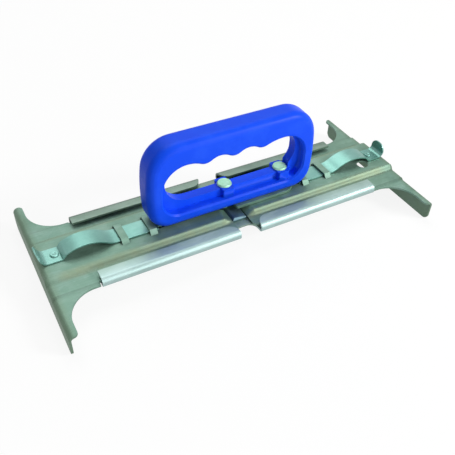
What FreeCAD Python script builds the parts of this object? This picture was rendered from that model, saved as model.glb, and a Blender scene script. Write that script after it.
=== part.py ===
"""Adjustable brick jointer: two sliding tee plates in a folded channel under a closed grip.

Origin at the middle of the footprint on the surface the flanges stand on. X runs along the
slides, Y across them, Z up. Millimetres and degrees.
"""
import FreeCAD
import Part
import math
import os

from FreeCAD import Vector

# ---- sheet metal shared by the channel and the two tee plates ----
SHEET = 1.5                  # thickness of the channel and the tee plates
SLIDE_GAP = 0.4              # between a tee plate and the channel floor
RAIL_SIDE_GAP = 2.2          # between a stem's edge and the inside of a rail
RAIL_END_GAP = 0.9           # between a tee plate's shoulders and the ends of the rails
SEAT_GAP = 0.3               # between parts of different bodies that nearly touch

# ---- tee plates ----
SPAN_CLOSED = 280.0          # outside of one flange to the outside of the other, closed
HEAD_WIDTH = 130.0           # length of a flange
HEAD_DEPTH = 32.0            # from the end of the channel to the outside of a flange
FLANGE_DROP = 17.0           # wing's top face to the flange's lower edge
FLANGE_CORNER = 4.5          # round on the flange's two lower corners
FOLD_RADIUS = 3.7            # outside radius of the fold between wing and flange
WING_STRIP = 6.4             # flat strip and fold beside the flange, seen from above
WING_SWEEP = 21.0            # radius from the strip to the stem
WING_SWEEP_ROOM = 0.5        # straight strip that is always left beside that radius
WING_END_ROUND = 3.0         # round where the strip meets the flange's end
STEM_NOSE_BEVEL = 4.8        # how much each nose bevel takes off the stem's width
STEM_NOSE_LENGTH = 5.0       # length of the two nose bevels
INNER_END = 6.0              # from the middle of the tool to a stem's inner end, closed
BAND_RISE = 1.2              # stem's outer bands above the wings
BAND_JOGGLE = 1.4            # width of that step
RIDGE_RISE = 3.4             # stem's middle ridge above its outer bands
RIDGE_TOP_WIDTH = 33.4       # flat top of the ridge
RIDGE_SLOPE = 3.2            # width of each ridge flank
RUN_OUT = 6.0                # length over which the ridge falls away at the inner end
FOLD_REACH = 10.0            # length of stem that is formed together with the flange
FLANK_FACETS = 3             # facets in a ridge flank

# ---- channel with its four rails ----
CHANNEL_WIDTH = 70.0
RAIL_HEIGHT = 7.2            # underside of the floor to the top of a lip
LIP_WIDTH = 9.7              # from the outside of a rail to the edge of its lip
RAIL_TOP_RADIUS = 3.6        # outside radius where the wall turns into the lip
RAIL_FOOT_RADIUS = 2.6       # outside radius where the floor turns into the wall
NOTCH_WIDTH = 16.4           # gap between the two rails of one side
NOTCH_DEPTH = 11.3           # how far the front notch cuts into the floor
BACK_NOTCH_DEPTH = 2.0       # the back one takes little more than the wall
NOTCH_ROUND = 6.0
LIP_END_ROUND = 8.0          # round on the lips beside the notches
STOP_HEIGHT = 2.4            # pressed stops near the ends of the floor
STOP_RADIUS = 3.0

# ---- catch straps: places are measured inwards from the outside of the flange ----
STRAP_WIDTH = 13.6
STRAP_THICK = 1.0
STRAP_GAP = 0.2              # strap above the ridge
HEEL_IN = 6.5                # where the flat of the strap turns up into the thumb tab
TAB_RADIUS = 3.6             # inside radius of that turn
TAB_HEIGHT = 10.6            # tab's tip above the strap's underside
TAB_ROUND = 6.0              # round on the corners of the tab
RISER_SLOPE = 50.0           # slope of the steep start of the arch
RISER_BEND = 0.7             # inside radius of the riser's two bends
ARCH_START_SLOPE = 27.4      # slope of the arch just above the riser
CREST_IN = 31.5              # highest point of the arch
CREST_HEIGHT = 6.4           # strap's top face there, above the same face on the flat
CREST_RADIUS = 28.0          # of the strap's middle over the crest
ARCH_END_IN = 54.0           # the arch is back down here
FOOT_IN = 86.0               # inner face of the brake foot
FOOT_WIDTH = 9.0
FOOT_RADIUS = 1.2            # inside radius of the bend into the foot
FOOT_NECK = 1.5              # the strap keeps the foot's width this far past the bend
FOOT_HOLE_ROOM = (1.5, 3.0)  # window in the tee plate, before and behind the foot
FOOT_SIDE_ROOM = 1.0         # and beside it
CATCH_RIVET_IN = 12.1
CATCH_LIFT_ROOM = 0.85       # strap may lift this much under the bridges
BRIDGES_IN = (57.6, 78.0)    # the two lanced bridges over a strap
BRIDGE_LENGTH = 5.2          # along the strap
BRIDGE_THICK = 1.2
BRIDGE_SHOULDER = 2.6        # width of a bridge's sloping leg
STRAP_SIDE_GAP = 0.8         # between a strap's edge and a bridge's leg
HOLE_IN = 22.4               # round hole in each tee plate
HOLE_OFFSET = 7.2            # to one side of the middle
HOLE_DIAMETER = 9.0

# ---- grip ----
GRIP_CENTRE = 0.6
GRIP_LENGTH = 129.2          # over the lower corners
GRIP_TOP_RADIUS = 22.0       # upper outer corners
GRIP_TOP_INSET = 0.3         # the upper corners stand in by this at each end
GRIP_CHEEK_RADIUS = 150.0    # the two slightly bowed ends
GRIP_FOOT_RADIUS = 15.2      # lower outer corners
GRIP_FOOT_TURN = 60.0        # they meet the underside at this angle from upright
GRIP_WIDTH = 20.6
GRIP_EDGE = 6.2              # round on the grip's outer edges
CHEEK_WALL = 9.6             # each end of the finger opening to the outside of the grip
TOP_WALL = 16.4              # finger hollow to the top of the grip
BASE_FLANGE = 7.6            # height of the wide base bar
WEB_HEIGHT = 6.0             # rib above the base bar
WEB_WIDTH = 7.2
WEB_END = 3.8                # thickness of the rib where it lies along a cheek
WEB_FADE = 0.6               # lets those ends fade out just below the finger hollows
FINGER_HEIGHT = 38.8         # base bar to the top of a finger hollow
FINGER_TOP_RADIUS = 18.0     # corners of the finger opening
FINGER_FOOT_RADIUS = 13.0
FINGER_EDGE = 1.2            # bevel on the opening's rim
KNUCKLE_PITCH = 21.85        # between the three ridges that part the fingers
KNUCKLE_MIDDLE = -1.0        # place of the middle one
KNUCKLE_DROP = 3.2
KNUCKLE_RADIUS = 8.0         # round on the tip of each ridge
BOSS_LENGTH = 13.0           # square pads round the rivets
BOSS_WIDTH = 16.0
BOSS_ROUND = 1.5
BOSS_RISE = 0.6              # pad above the rib

# ---- rivets that hold the grip ----
GRIP_RIVETS = {"middle": -3.6, "right": 42.4}
SHANK = 5.0
SHANK_FIT = 0.05             # radial clearance round a shank
HEAD_RIM = 2.9               # head beyond the shank all round
HEAD_ROOM = 0.5              # round the head where the rib starts to rise
HEAD_HEIGHT = 1.4
HEAD_BEVEL = 0.7
TAIL_RIM = 1.7
TAIL_HEIGHT = 2.0
TAIL_BEVEL = 0.8
WASHER_RIM = 3.5
WASHER_THICK = 1.2
SLEEVE_WALL = 1.5
SLOT_CLEARANCE = 0.7         # slot in a tee plate beside a sleeve
SLOT_TAIL = 5.6              # slot beyond the sleeve's axis
STOP_BAR_GAP = 0.6           # between the stop bar and a closed stem
STOP_BAR_LENGTH = 36.0
STOP_BAR_THICK = 2.8
STOP_BAR_EDGE = 1.2
COVER_WIDTH = 23.6           # plate under the grip that bridges the right-hand slot
COVER_THICK = 2.3
COVER_CORNER = 1.5
COVER_END_GAP = 0.8          # between its round end and the right-hand strap's foot

# ---- small rivets through the straps ----
CATCH_SHANK = 3.6
CATCH_HEAD_RIM = 1.2
CATCH_HEAD_HEIGHT = 0.9
CATCH_HEAD_BEVEL = 0.5
CATCH_DIMPLE = 2.8           # hollow in the middle of the head
CATCH_DIMPLE_DEPTH = 0.6
CATCH_TAIL_RIM = 1.0
CATCH_TAIL_HEIGHT = 1.0

# ---- travel ----
PLATE_TRAVEL = 45.0

# ---- levels above the ground that several pieces share ----
WING_TOP = FLANGE_DROP
BAND_TOP = WING_TOP + BAND_RISE
RIDGE_TOP = BAND_TOP + RIDGE_RISE
FLOOR_TOP = BAND_TOP - SHEET - SLIDE_GAP
FLOOR_UNDER = FLOOR_TOP - SHEET
LIP_TOP = FLOOR_UNDER + RAIL_HEIGHT
STRAP_UNDER = RIDGE_TOP + STRAP_GAP
STRAP_TOP = STRAP_UNDER + STRAP_THICK
BRIDGE_UNDER = STRAP_TOP + CATCH_LIFT_ROOM
STOP_BAR_TOP = FLOOR_TOP + STOP_BAR_THICK
COVER_UNDER = RIDGE_TOP + SEAT_GAP
GRIP_BASE = COVER_UNDER + COVER_THICK
BASE_TOP = GRIP_BASE + BASE_FLANGE
WEB_TOP = BASE_TOP + WEB_HEIGHT
BOSS_TOP = WEB_TOP + BOSS_RISE
FINGER_TOP = BASE_TOP + FINGER_HEIGHT
GRIP_TOP = FINGER_TOP + TOP_WALL

# ---- places and widths that follow from the sizes above ----
FLANGE_FACE = SPAN_CLOSED / 2
CHANNEL_LENGTH = SPAN_CLOSED - 2 * HEAD_DEPTH
STEM_WIDTH = CHANNEL_WIDTH - 2 * (SHEET + RAIL_SIDE_GAP)
BRIDGE_SPAN = STRAP_WIDTH + 2 * (STRAP_SIDE_GAP + BRIDGE_SHOULDER)
HEEL = FLANGE_FACE - HEEL_IN
CREST = FLANGE_FACE - CREST_IN
ARCH_END = FLANGE_FACE - ARCH_END_IN
FOOT_AT = FLANGE_FACE - FOOT_IN
CATCH_RIVET_AT = FLANGE_FACE - CATCH_RIVET_IN
BRIDGES_AT = [FLANGE_FACE - inwards for inwards in BRIDGES_IN]
HOLE_AT = FLANGE_FACE - HOLE_IN
STOP_AT = FOOT_AT + STRAP_THICK + PLATE_TRAVEL + SEAT_GAP + STOP_RADIUS
FOOT_REACH = GRIP_LENGTH / 2
TOP_FLAT = FOOT_REACH - GRIP_TOP_INSET - GRIP_TOP_RADIUS
FINGER_REACH = FOOT_REACH - CHEEK_WALL
WEB_REACH = FINGER_REACH - WEB_END
SLEEVE_DIAMETER = SHANK + 2 * SLEEVE_WALL
SLOT_WIDTH = SLEEVE_DIAMETER + 2 * SLOT_CLEARANCE
SLOT_END = GRIP_RIVETS["right"] + SLOT_TAIL


# ---- small helpers ----
def block(x0, x1, y0, y1, z0, z1):
    """A box between the given limits."""
    return Part.makeBox(x1 - x0, y1 - y0, z1 - z0, Vector(x0, y0, z0))


def peg(diameter, z0, z1, x=0.0, y=0.0):
    """An upright cylinder."""
    return Part.makeCylinder(diameter / 2, z1 - z0, Vector(x, y, z0))


def prism(edges, along):
    """Extrude a closed chain of edges."""
    return Part.Face(Part.Wire(edges)).extrude(along)


def line(a, b):
    return Part.LineSegment(a, b).toShape()


def arc(a, middle, b):
    return Part.Arc(a, middle, b).toShape()


def polygon(points):
    """A closed wire through the points."""
    return Part.makePolygon(list(points) + [points[0]])


def on_arc(centre, radius, angle, plane):
    """The point at an angle on a circle; plane maps the circle's two coordinates to 3-D."""
    turn = math.radians(angle)
    return plane(centre[0] + radius * math.cos(turn), centre[1] + radius * math.sin(turn))


def arc_about(centre, radius, start, end, plane):
    """An arc round a centre from one angle to another."""
    middle = (start + end) / 2
    return arc(*(on_arc(centre, radius, angle, plane) for angle in (start, middle, end)))


def upright(x, z):
    """A point on the lengthwise middle plane."""
    return Vector(x, 0, z)


def is_upright(edge):
    """True for a straight edge along Z."""
    ends = edge.Vertexes
    return len(ends) == 2 and (ends[0].Point - ends[1].Point).cross(Vector(0, 0, 1)).Length < 1e-6


def shank_hole(z0, z1, x):
    """What a grip rivet's shank takes out of the pieces that it passes through."""
    return peg(SHANK + 2 * SHANK_FIT, z0 - 1, z1 + 1, x)


def edges_along_y_sides(solid, half):
    """The edges of a block that lie in its two side faces y = -half and y = half."""
    return [e for e in solid.Edges if abs(abs(e.CenterOfMass.y) - half) < 1e-6]


def turned(points, x, y):
    """Revolve a half profile of (radius, z) points round an upright axis."""
    face = Part.Face(polygon([Vector(r, 0, z) for r, z in points]))
    solid = face.revolve(Vector(0, 0, 0), Vector(0, 0, 1), 360)
    solid.translate(Vector(x, y, 0))
    return solid


def half_turned(shape):
    """The same piece turned half round the upright axis, for the left-hand side."""
    copy = shape.copy()
    copy.rotate(Vector(0, 0, 0), Vector(0, 0, 1), 180)
    return copy


# ---- tee plate ----
def eased(share):
    """A smooth rise from 0 to 1."""
    return (1 - math.cos(math.pi * share)) / 2


def section_heights(ridge):
    """Stations across the plate from one flange end to the middle: (y, rise over the wings)."""
    band_edge = STEM_WIDTH / 2 + BAND_JOGGLE
    ridge_edge = RIDGE_TOP_WIDTH / 2 + RIDGE_SLOPE
    stations = [(-HEAD_WIDTH / 2, 0.0), (-band_edge, 0.0), (-band_edge + BAND_JOGGLE, BAND_RISE)]
    for step in range(FLANK_FACETS + 1):
        share = step / FLANK_FACETS
        stations.append((-ridge_edge + share * RIDGE_SLOPE, BAND_RISE + ridge * eased(share)))
    return stations + [(-y, rise) for y, rise in reversed(stations)]


def cross_section(x, ridge):
    """The sheet cut across at one place along the stem."""
    stations = section_heights(ridge)
    top = [Vector(x, y, WING_TOP + rise) for y, rise in stations]
    under = [point - Vector(0, 0, SHEET) for point in reversed(top)]
    return polygon(top + under)


def fold_section(y, rise):
    """The sheet cut lengthwise through the fold: flat, bend, flange."""
    x0 = FLANGE_FACE - FOLD_REACH
    face = FLANGE_FACE
    top = WING_TOP + rise
    centre = (face - FOLD_RADIUS, top - FOLD_RADIUS)

    def plane(x, z):
        return Vector(x, y, z)

    return Part.Wire([
        line(plane(x0, top), plane(centre[0], top)),
        arc_about(centre, FOLD_RADIUS, 90, 0, plane),
        line(plane(face, centre[1]), plane(face, 0)),
        line(plane(face, 0), plane(face - SHEET, 0)),
        line(plane(face - SHEET, 0), plane(face - SHEET, centre[1])),
        arc_about(centre, FOLD_RADIUS - SHEET, 0, 90, plane),
        line(plane(centre[0], top - SHEET), plane(x0, top - SHEET)),
        line(plane(x0, top - SHEET), plane(x0, top)),
    ])


def tee_outline():
    """Everything inside the plate's outline seen from above, as a tall prism."""
    strip = FLANGE_FACE - WING_STRIP
    shoulder = STEM_WIDTH / 2 + BAND_JOGGLE + RAIL_END_GAP
    rail_end = CHANNEL_LENGTH / 2 + RAIL_END_GAP
    head = HEAD_WIDTH / 2
    radius = min(WING_SWEEP, head - WING_END_ROUND - shoulder - WING_SWEEP_ROOM)
    sweep = (strip - radius, shoulder + radius)
    nose = STEM_WIDTH / 2 - STEM_NOSE_BEVEL
    far = FLANGE_FACE + 1
    sides = []
    for side in (-1, 1):
        def plane(x, y):
            return Vector(x, side * y, -1)
        sides.append([
            line(plane(INNER_END, nose), plane(INNER_END + STEM_NOSE_LENGTH, STEM_WIDTH / 2)),
            line(plane(INNER_END + STEM_NOSE_LENGTH, STEM_WIDTH / 2), plane(rail_end, STEM_WIDTH / 2)),
            line(plane(rail_end, STEM_WIDTH / 2), plane(rail_end, shoulder)),
            line(plane(rail_end, shoulder), plane(sweep[0], shoulder)),
            arc_about(sweep, radius, -90, 0, plane),
            line(plane(strip, sweep[1]), plane(strip, head - WING_END_ROUND)),
            arc_about((strip + WING_END_ROUND, head - WING_END_ROUND), WING_END_ROUND, 180, 90, plane),
            line(plane(strip + WING_END_ROUND, head), plane(far, head)),
        ])
    ends = [
        line(Vector(far, -head, -1), Vector(far, head, -1)),
        line(Vector(INNER_END, -nose, -1), Vector(INNER_END, nose, -1)),
    ]
    edges = Part.__sortEdges__(sides[0] + sides[1] + ends)
    return prism(edges, Vector(0, 0, RIDGE_TOP + 10))


def flange_outline():
    """Everything inside the head's outline seen from its end, as a long prism."""
    head = HEAD_WIDTH / 2
    outline = block(0, FLANGE_FACE + 10, -head, head, 0, RIDGE_TOP + 10)
    lower = [e for e in edges_along_y_sides(outline, head) if abs(e.CenterOfMass.z) < 1e-6]
    return outline.makeFillet(FLANGE_CORNER, lower)


def bridge(x):
    """A lanced strip arching over the strap, its feet in the ridge."""
    half = BRIDGE_SPAN / 2
    top = BRIDGE_UNDER + BRIDGE_THICK
    crown = half - BRIDGE_SHOULDER
    outer = [(-half, RIDGE_TOP), (-crown, top), (crown, top), (half, RIDGE_TOP),
             (half, RIDGE_TOP - SHEET)]
    lean = BRIDGE_THICK * 0.5
    inner = [(half - BRIDGE_THICK, RIDGE_TOP - SHEET), (crown - lean, BRIDGE_UNDER),
             (-crown + lean, BRIDGE_UNDER), (-half + BRIDGE_THICK, RIDGE_TOP - SHEET),
             (-half, RIDGE_TOP - SHEET)]
    x0 = x - BRIDGE_LENGTH / 2
    face = Part.Face(polygon([Vector(x0, y, z) for y, z in outer + inner]))
    return face.extrude(Vector(BRIDGE_LENGTH, 0, 0))


def tee_plate():
    """The right-hand tee plate: stem with its ridge, wings, fold and flange in one sheet."""
    fold_start = FLANGE_FACE - FOLD_REACH
    stem = Part.makeLoft([
        cross_section(INNER_END, 0.0),
        cross_section(INNER_END + RUN_OUT, RIDGE_RISE),
        cross_section(fold_start, RIDGE_RISE),
    ], True, True)
    fold = Part.makeLoft([fold_section(y, rise) for y, rise in section_heights(RIDGE_RISE)], True, True)
    plate = stem.fuse(fold).common(tee_outline()).common(flange_outline())
    reach = RIDGE_TOP + 5
    cuts = [
        block(0, SLOT_END - SLOT_WIDTH / 2, -SLOT_WIDTH / 2, SLOT_WIDTH / 2, WING_TOP - 5, reach),
        peg(SLOT_WIDTH, WING_TOP - 5, reach, SLOT_END - SLOT_WIDTH / 2),
        peg(HOLE_DIAMETER, WING_TOP - 5, reach, HOLE_AT, -HOLE_OFFSET),
        peg(CATCH_SHANK + 2 * SHANK_FIT, WING_TOP - 5, reach, CATCH_RIVET_AT),
        block(FOOT_AT - FOOT_HOLE_ROOM[0], FOOT_AT + STRAP_THICK + FOOT_HOLE_ROOM[1],
              -FOOT_WIDTH / 2 - FOOT_SIDE_ROOM, FOOT_WIDTH / 2 + FOOT_SIDE_ROOM, WING_TOP - 5, reach),
    ]
    for x in BRIDGES_AT:
        half = BRIDGE_LENGTH / 2
        cuts.append(block(x - half, x + half, -BRIDGE_SPAN / 2, BRIDGE_SPAN / 2, WING_TOP - 5, reach))
    plate = plate.cut(cuts[0].multiFuse(cuts[1:]))
    return plate.multiFuse([bridge(x) for x in BRIDGES_AT]).removeSplitter()


# ---- channel ----
def channel_half_section(side):
    """One side of the channel cut across, from the middle of the floor out to the lip."""
    half = CHANNEL_WIDTH / 2

    def plane(y, z):
        return Vector(-CHANNEL_LENGTH / 2, side * y, z)

    foot = (half - RAIL_FOOT_RADIUS, FLOOR_UNDER + RAIL_FOOT_RADIUS)
    top = (half - RAIL_TOP_RADIUS, LIP_TOP - RAIL_TOP_RADIUS)
    lip = half - LIP_WIDTH
    return [
        line(plane(0, FLOOR_UNDER), plane(foot[0], FLOOR_UNDER)),
        arc_about(foot, RAIL_FOOT_RADIUS, -90, 0, plane),
        line(plane(half, foot[1]), plane(half, top[1])),
        arc_about(top, RAIL_TOP_RADIUS, 0, 90, plane),
        line(plane(top[0], LIP_TOP), plane(lip, LIP_TOP)),
        line(plane(lip, LIP_TOP), plane(lip, LIP_TOP - SHEET)),
        line(plane(lip, LIP_TOP - SHEET), plane(top[0], LIP_TOP - SHEET)),
        arc_about(top, RAIL_TOP_RADIUS - SHEET, 90, 0, plane),
        line(plane(half - SHEET, top[1]), plane(half - SHEET, foot[1])),
        arc_about(foot, RAIL_FOOT_RADIUS - SHEET, 0, -90, plane),
        line(plane(foot[0], FLOOR_TOP), plane(0, FLOOR_TOP)),
    ]


def lip_corner(x, side):
    """What the round takes off a lip's corner beside a notch."""
    inward = 1 if x > 0 else -1
    edge = CHANNEL_WIDTH / 2 - LIP_WIDTH
    x1 = x + inward * LIP_END_ROUND
    y1 = edge + LIP_END_ROUND
    square = block(min(x, x1), max(x, x1), edge - 1, y1, LIP_TOP - SHEET - 1, LIP_TOP + 1)
    disc = peg(2 * LIP_END_ROUND, LIP_TOP - SHEET - 1, LIP_TOP + 1, x1, y1)
    corner = square.cut(disc)
    return corner if side > 0 else corner.mirror(Vector(0, 0, 0), Vector(0, 1, 0))


def channel():
    """The galvanised channel: flat floor, four rails with turned-in lips, notches, stops."""
    half_sections = [channel_half_section(side) for side in (-1, 1)]
    edges = Part.__sortEdges__(half_sections[0] + half_sections[1])
    shell = prism(edges, Vector(CHANNEL_LENGTH, 0, 0))
    half = CHANNEL_WIDTH / 2
    gap = NOTCH_WIDTH / 2
    front = block(-gap, gap, -half - 1, -half + NOTCH_DEPTH, FLOOR_UNDER - 1, LIP_TOP + 1)
    inner = [e for e in front.Edges if is_upright(e) and e.Vertexes[0].Y > -half]
    back = block(-gap, gap, half - BACK_NOTCH_DEPTH, half + 1, FLOOR_UNDER - 1, LIP_TOP + 1)
    lips = block(-gap, gap, -half - 1, half + 1, FLOOR_TOP + SHEET, LIP_TOP + 1)
    cuts = [front.makeFillet(NOTCH_ROUND, inner), back, lips]
    cuts += [lip_corner(x, side) for x in (-gap, gap) for side in (-1, 1)]
    cuts += [shank_hole(FLOOR_UNDER, FLOOR_TOP, x) for x in GRIP_RIVETS.values()]
    shell = shell.cut(cuts[0].multiFuse(cuts[1:]))
    return shell.multiFuse([floor_stop(x) for x in (-STOP_AT, STOP_AT)]).removeSplitter()


def floor_stop(x):
    """A stop pressed up out of the floor, which a brake foot meets at full travel."""
    return peg(2 * STOP_RADIUS, FLOOR_TOP - SHEET / 2, FLOOR_TOP + STOP_HEIGHT, x)


# ---- catch strap ----
def strap_moves():
    """The strap's middle line from the tab's tip to the foot's sole, as straights and bends.

    A straight is its length; a bend is its radius and the angle that it turns, left positive.
    """
    half = STRAP_THICK / 2
    riser = math.radians(RISER_SLOPE)
    start = math.radians(ARCH_START_SLOPE)
    bend = RISER_BEND + half
    climb = CREST_HEIGHT - CREST_RADIUS * (1 - math.cos(start))
    straight = (climb - bend * (1 - 2 * math.cos(riser) + math.cos(start))) / math.sin(riser)
    riser_foot = (CREST + CREST_RADIUS * math.sin(start) + bend * (2 * math.sin(riser) - math.sin(start))
                  + straight * math.cos(riser))
    run = CREST - ARCH_END
    fall = 2 * math.atan(CREST_HEIGHT / run)
    run_out_radius = run / math.sin(fall) - CREST_RADIUS
    fall = math.degrees(fall)
    foot_bend = FOOT_RADIUS + half
    foot = FOOT_AT + half + foot_bend
    return [
        (TAB_HEIGHT - TAB_RADIUS - STRAP_THICK,),
        (TAB_RADIUS + half, -90),
        (HEEL - riser_foot,),
        (bend, -RISER_SLOPE),
        (straight,),
        (bend, RISER_SLOPE - ARCH_START_SLOPE),
        (CREST_RADIUS, ARCH_START_SLOPE + fall),
        (run_out_radius, -fall),
        (ARCH_END - foot,),
        (foot_bend, 90),
        (STRAP_UNDER + half - foot_bend - FLOOR_TOP - SEAT_GAP,),
    ]


def bent_strip(start, heading, moves, thick):
    """Follow straights and bends in the lengthwise plane and give the face that the strip fills."""
    x, z = start
    sides = (thick / 2, -thick / 2)
    edges = []

    def abreast(offset):
        turn = math.radians(heading)
        return upright(x + offset * math.sin(turn), z - offset * math.cos(turn))

    edges.append(line(*map(abreast, sides)))
    for move in moves:
        turn = math.radians(heading)
        if len(move) == 1:
            before = [abreast(offset) for offset in sides]
            x += move[0] * math.cos(turn)
            z += move[0] * math.sin(turn)
            edges += [line(point, abreast(offset)) for point, offset in zip(before, sides)]
            continue
        radius, angle = move
        hand = math.copysign(1, angle)
        centre = (x - hand * radius * math.sin(turn), z + hand * radius * math.cos(turn))
        first = heading - hand * 90
        last = first + angle
        edges += [arc_about(centre, radius + hand * offset, first, last, upright) for offset in sides]
        heading += angle
        x = centre[0] + radius * math.cos(math.radians(last))
        z = centre[1] + radius * math.sin(math.radians(last))
    edges.append(line(*map(abreast, sides)))
    return Part.Face(Part.Wire(Part.__sortEdges__(edges)))


def catch_strap():
    """The right-hand spring strap: thumb tab, heel, arch, flat and brake foot in one strip."""
    half = STRAP_WIDTH / 2
    middle = HEEL + TAB_RADIUS + STRAP_THICK / 2
    tip = STRAP_UNDER + TAB_HEIGHT
    strap = across(bent_strip((middle, tip), 270, strap_moves(), STRAP_THICK), half)
    tab = block(HEEL, middle + STRAP_THICK, -half, half, STRAP_UNDER, tip)
    tab = tab.makeFillet(TAB_ROUND, [e for e in edges_along_y_sides(tab, half)
                                     if e.CenterOfMass.z > tip - 1e-6])
    strap = strap.common(tab.fuse(block(0, HEEL, -half, half, 0, tip)))
    neck = FOOT_AT + STRAP_THICK + FOOT_RADIUS + FOOT_NECK
    foot = FOOT_WIDTH / 2
    return strap.cut(block(0, neck, foot, half, 0, STRAP_TOP + 1).multiFuse([
        block(0, neck, -half, -foot, 0, STRAP_TOP + 1),
        peg(CATCH_SHANK + 2 * SHANK_FIT, STRAP_UNDER - 1, STRAP_TOP + 1, CATCH_RIVET_AT),
    ]))


def catch_rivet():
    """A dimpled rivet that pins the strap's heel to the tee plate."""
    under = RIDGE_TOP - SHEET
    seat = STRAP_TOP + STRAP_GAP
    top = seat + CATCH_HEAD_HEIGHT
    shank = CATCH_SHANK / 2
    head = shank + CATCH_HEAD_RIM
    tail = shank + CATCH_TAIL_RIM
    return turned([
        (0, under - CATCH_TAIL_HEIGHT), (tail, under - CATCH_TAIL_HEIGHT), (tail, under), (shank, under),
        (shank, seat), (head, seat), (head - CATCH_HEAD_BEVEL, top), (CATCH_DIMPLE / 2, top),
        (0, top - CATCH_DIMPLE_DEPTH),
    ], CATCH_RIVET_AT, 0)


# ---- grip ----
def grip_outline():
    """The grip's closed outline on the middle plane, before its underside is cut flat."""
    shoulder = (TOP_FLAT, GRIP_TOP - GRIP_TOP_RADIUS)
    foot = (FOOT_REACH - GRIP_FOOT_RADIUS,
            GRIP_BASE + GRIP_FOOT_RADIUS * math.sin(math.radians(GRIP_FOOT_TURN)))
    cheek = cheek_centre(shoulder, foot)
    high, low = (math.degrees(math.atan2(z - cheek[1], x - cheek[0])) for x, z in (shoulder, foot))
    bottom = foot[1] - GRIP_FOOT_RADIUS
    edges = [
        line(upright(GRIP_CENTRE - TOP_FLAT, GRIP_TOP), upright(GRIP_CENTRE + TOP_FLAT, GRIP_TOP)),
        line(upright(GRIP_CENTRE - foot[0], bottom), upright(GRIP_CENTRE + foot[0], bottom)),
    ]
    for side in (-1, 1):
        def plane(x, z):
            return upright(GRIP_CENTRE + side * x, z)
        edges += [
            arc_about(shoulder, GRIP_TOP_RADIUS, 90, high, plane),
            arc_about(cheek, GRIP_CHEEK_RADIUS, high, low, plane),
            arc_about(foot, GRIP_FOOT_RADIUS, low, -90, plane),
        ]
    return Part.Wire(Part.__sortEdges__(edges))


def cheek_centre(shoulder, foot):
    """Centre of the long arc that runs smoothly from a corner's upper round into its lower one."""
    across_x, across_z = shoulder[0] - foot[0], shoulder[1] - foot[1]
    apart = math.hypot(across_x, across_z)
    to_foot = GRIP_CHEEK_RADIUS - GRIP_FOOT_RADIUS
    to_shoulder = GRIP_CHEEK_RADIUS - GRIP_TOP_RADIUS
    along = (to_foot ** 2 - to_shoulder ** 2 + apart ** 2) / (2 * apart)
    aside = math.sqrt(to_foot ** 2 - along ** 2)
    unit = (across_x / apart, across_z / apart)
    return foot[0] + along * unit[0] - aside * unit[1], foot[1] + along * unit[1] + aside * unit[0]


def finger_ceiling():
    """The wavy upper side of the finger opening: hollows for four fingers, parted by knuckle ridges."""
    reach = FINGER_REACH - FINGER_TOP_RADIUS
    tips = [KNUCKLE_MIDDLE + place * KNUCKLE_PITCH for place in (-1, 0, 1)]
    hollows = [GRIP_CENTRE - reach] + [(a + b) / 2 for a, b in zip(tips, tips[1:])] + [GRIP_CENTRE + reach]
    edges = []
    for tip, before, after in zip(tips, hollows, hollows[1:]):
        turns = []
        for side, hollow in ((-1, before), (1, after)):
            run = abs(tip - hollow)
            swing = 2 * math.atan(KNUCKLE_DROP / run)
            radius = run / math.sin(swing) - KNUCKLE_RADIUS
            turns.append(math.degrees(swing))
            edges.append(arc_about((hollow, FINGER_TOP - radius), radius, 90, 90 + side * turns[-1], upright))
        centre = (tip, FINGER_TOP - KNUCKLE_DROP + KNUCKLE_RADIUS)
        edges.append(arc_about(centre, KNUCKLE_RADIUS, -90 - turns[0], -90 + turns[1], upright))
    return edges


def finger_opening(half):
    """The finger opening as a solid, from the base bar up to the finger hollows."""
    edges = finger_ceiling()
    upper = FINGER_REACH - FINGER_TOP_RADIUS
    lower = FINGER_REACH - FINGER_FOOT_RADIUS
    upper_z = FINGER_TOP - FINGER_TOP_RADIUS
    lower_z = BASE_TOP + FINGER_FOOT_RADIUS
    for side in (-1, 1):
        def plane(x, z):
            return upright(GRIP_CENTRE + side * x, z)
        edges += [
            arc_about((upper, upper_z), FINGER_TOP_RADIUS, 90, 0, plane),
            line(plane(FINGER_REACH, upper_z), plane(FINGER_REACH, lower_z)),
            arc_about((lower, lower_z), FINGER_FOOT_RADIUS, 0, -90, plane),
        ]
    edges.append(line(upright(GRIP_CENTRE - lower, BASE_TOP), upright(GRIP_CENTRE + lower, BASE_TOP)))
    return across(Part.Face(Part.Wire(Part.__sortEdges__(edges))), half)


def rib():
    """The rib on the middle plane: level over the base bar, then sweeping up both cheeks."""
    half = WEB_WIDTH / 2
    sweep = (FINGER_TOP - WEB_TOP) / 2 + WEB_FADE
    inner = WEB_REACH - sweep
    middle = WEB_TOP + sweep
    edges = [
        line(upright(GRIP_CENTRE - inner, z), upright(GRIP_CENTRE + inner, z))
        for z in (WEB_TOP, WEB_TOP + 2 * sweep)
    ]
    for side in (-1, 1):
        def plane(x, z):
            return upright(GRIP_CENTRE + side * x, z)
        edges.append(arc_about((inner, middle), sweep, -90, 90, plane))
    clear = across(Part.Face(Part.Wire(Part.__sortEdges__(edges))), half + 1)
    end = FINGER_REACH + 1
    slab = block(GRIP_CENTRE - end, GRIP_CENTRE + end, -half, half, BASE_TOP - 1, FINGER_TOP + 1)
    return slab.cut(clear)


def across(face, half):
    """Extrude a face on the middle plane to both sides."""
    solid = face.extrude(Vector(0, 2 * half, 0))
    solid.translate(Vector(0, -half, 0))
    return solid


def inside_outline(edge):
    """True for an edge of the finger opening's rim."""
    middle = edge.CenterOfMass
    return (abs(middle.x - GRIP_CENTRE) < FINGER_REACH + 1e-3
            and BASE_TOP - 1e-3 < middle.z < FINGER_TOP + 1e-3)


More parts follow.
